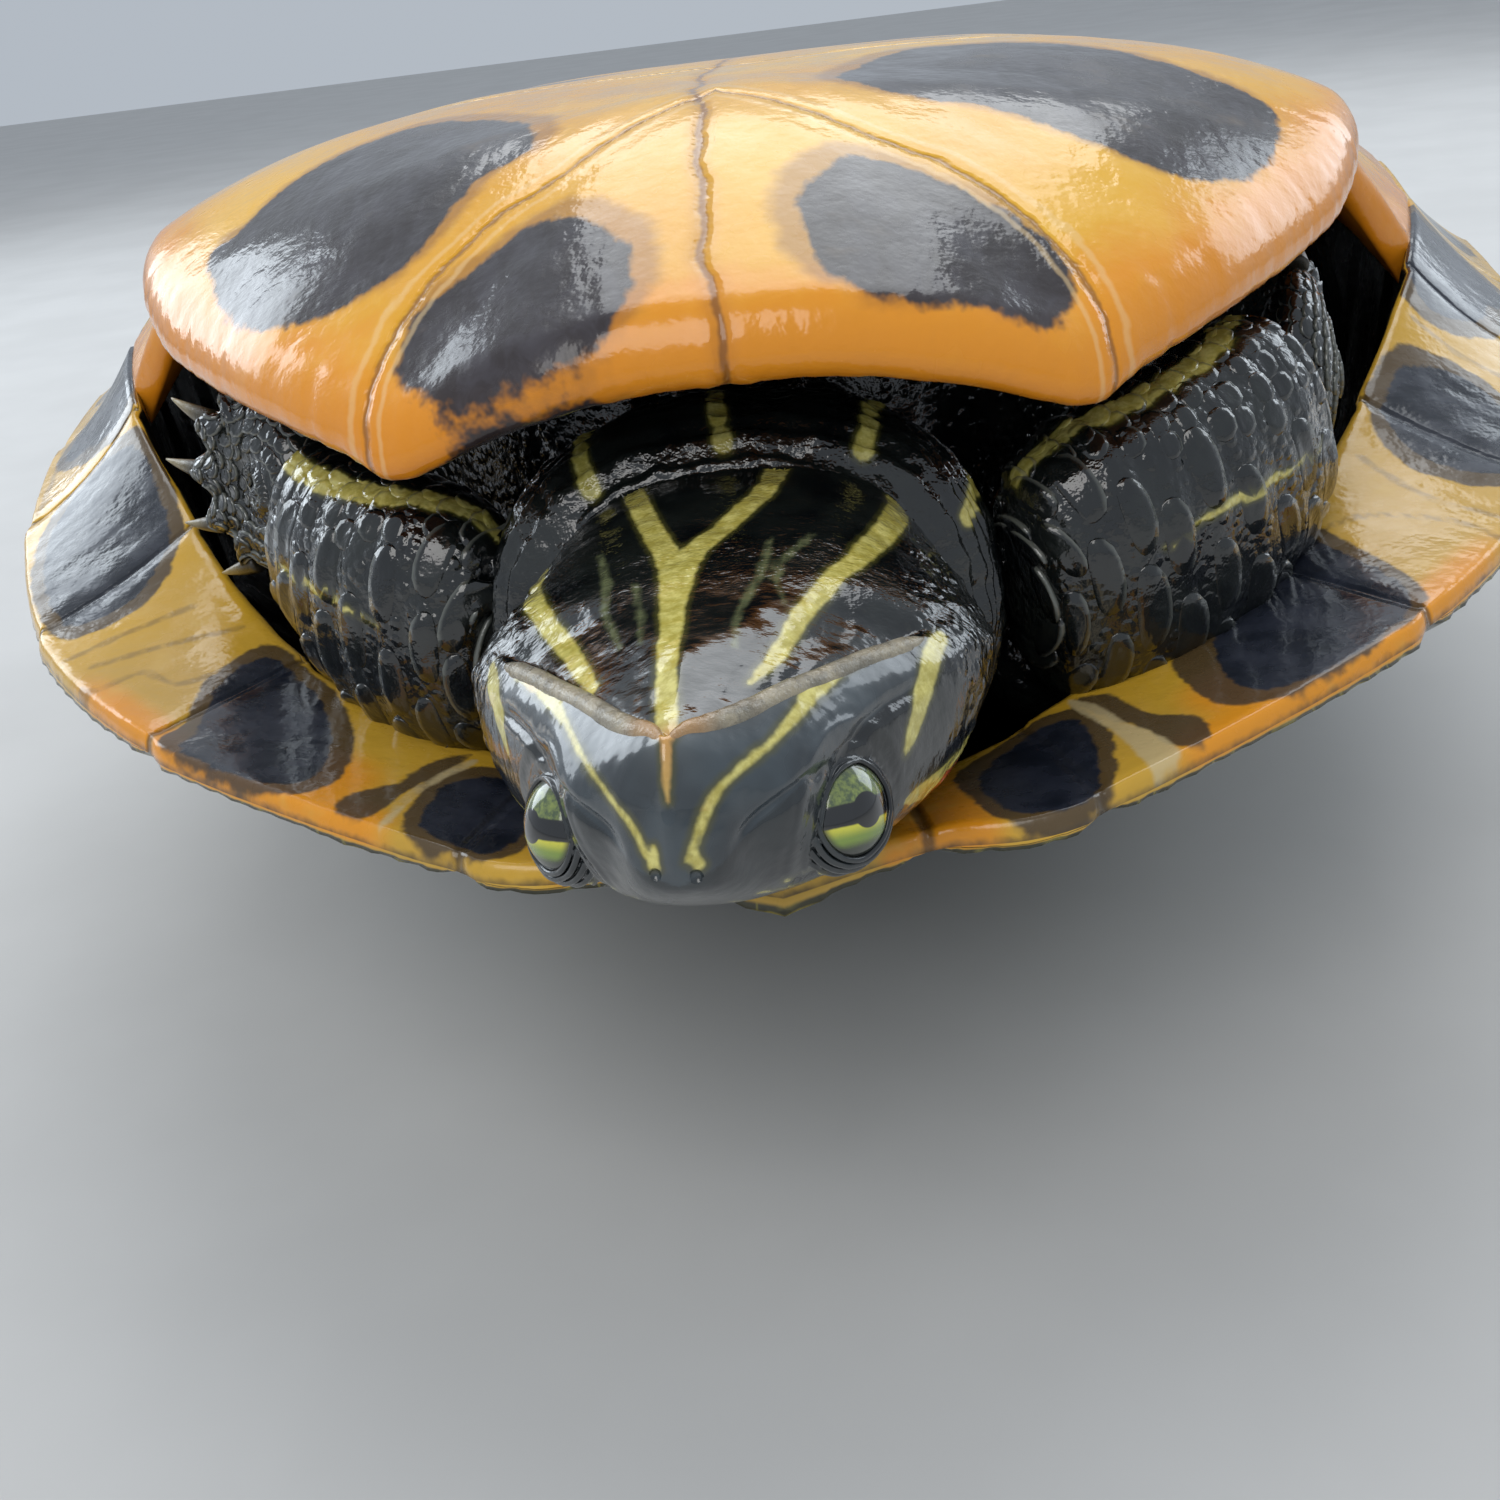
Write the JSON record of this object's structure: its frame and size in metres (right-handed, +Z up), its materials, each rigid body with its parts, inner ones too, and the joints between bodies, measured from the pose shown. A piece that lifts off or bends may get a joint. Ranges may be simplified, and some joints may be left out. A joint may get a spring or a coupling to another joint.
{
  "type": "red-eared slider turtle, life-size still model lying on its carapace",
  "caption": "Life-size still model of an adult red-eared slider lying on its domed upper shell, plastron up, head half drawn in, limbs and tail folded into the shell openings.",
  "frame": {"origin": "middle of the bounding box at the floor, under the flat on the crown of the carapace", "axes": "+Z up from the floor towards the plastron; +Y from head to tail; +X to the animal's right"},
  "size_m": [0.206, 0.2848, 0.1034],
  "materials": {
    "carapace_horn": "dark olive horn scutes with fine growth rings, yellow marginal undersides with dark blotches, wet gloss",
    "plastron_horn": "yellow-orange horn scutes with slate-black blotches and brown seams, wet gloss",
    "skin": "olive-black scaly skin with pale yellow stripes, fine folds, wet",
    "beak_horn": "blue-grey horn beak and scaled chin with yellow stripes",
    "eye": "yellow-green iris with a black horizontal bar and round pupil under a clear wet cornea",
    "claw_horn": "brown translucent horn, paler at the tip"
  },
  "bodies": {
    "root": {"carapace": "carapace_horn", "claw_foot_L_1": "claw_horn", "claw_foot_L_2": "claw_horn", "claw_foot_L_3": "claw_horn", "claw_foot_L_4": "claw_horn", "claw_foot_R_1": "claw_horn", "claw_foot_R_2": "claw_horn", "claw_foot_R_3": "claw_horn", "claw_foot_R_4": "claw_horn", "claw_hand_L_1": "claw_horn", "claw_hand_L_2": "claw_horn", "claw_hand_L_3": "claw_horn", "claw_hand_L_4": "claw_horn", "claw_hand_L_5": "claw_horn", "claw_hand_R_1": "claw_horn", "claw_hand_R_2": "claw_horn", "claw_hand_R_3": "claw_horn", "claw_hand_R_4": "claw_horn", "claw_hand_R_5": "claw_horn", "eye_L": "eye", "eye_R": "eye", "foot_L": "skin", "foot_R": "skin", "forearm_L": "skin", "forearm_R": "skin", "hand_L": "skin", "hand_R": "skin", "head": "skin", "lower_jaw": "beak_horn", "neck": "skin", "plastron": "plastron_horn", "shin_L": "skin", "shin_R": "skin", "tail": "skin", "thigh_L": "skin", "thigh_R": "skin", "trunk": "skin", "upper_arm_L": "skin", "upper_arm_R": "skin"}
  },
  "joints": []
}
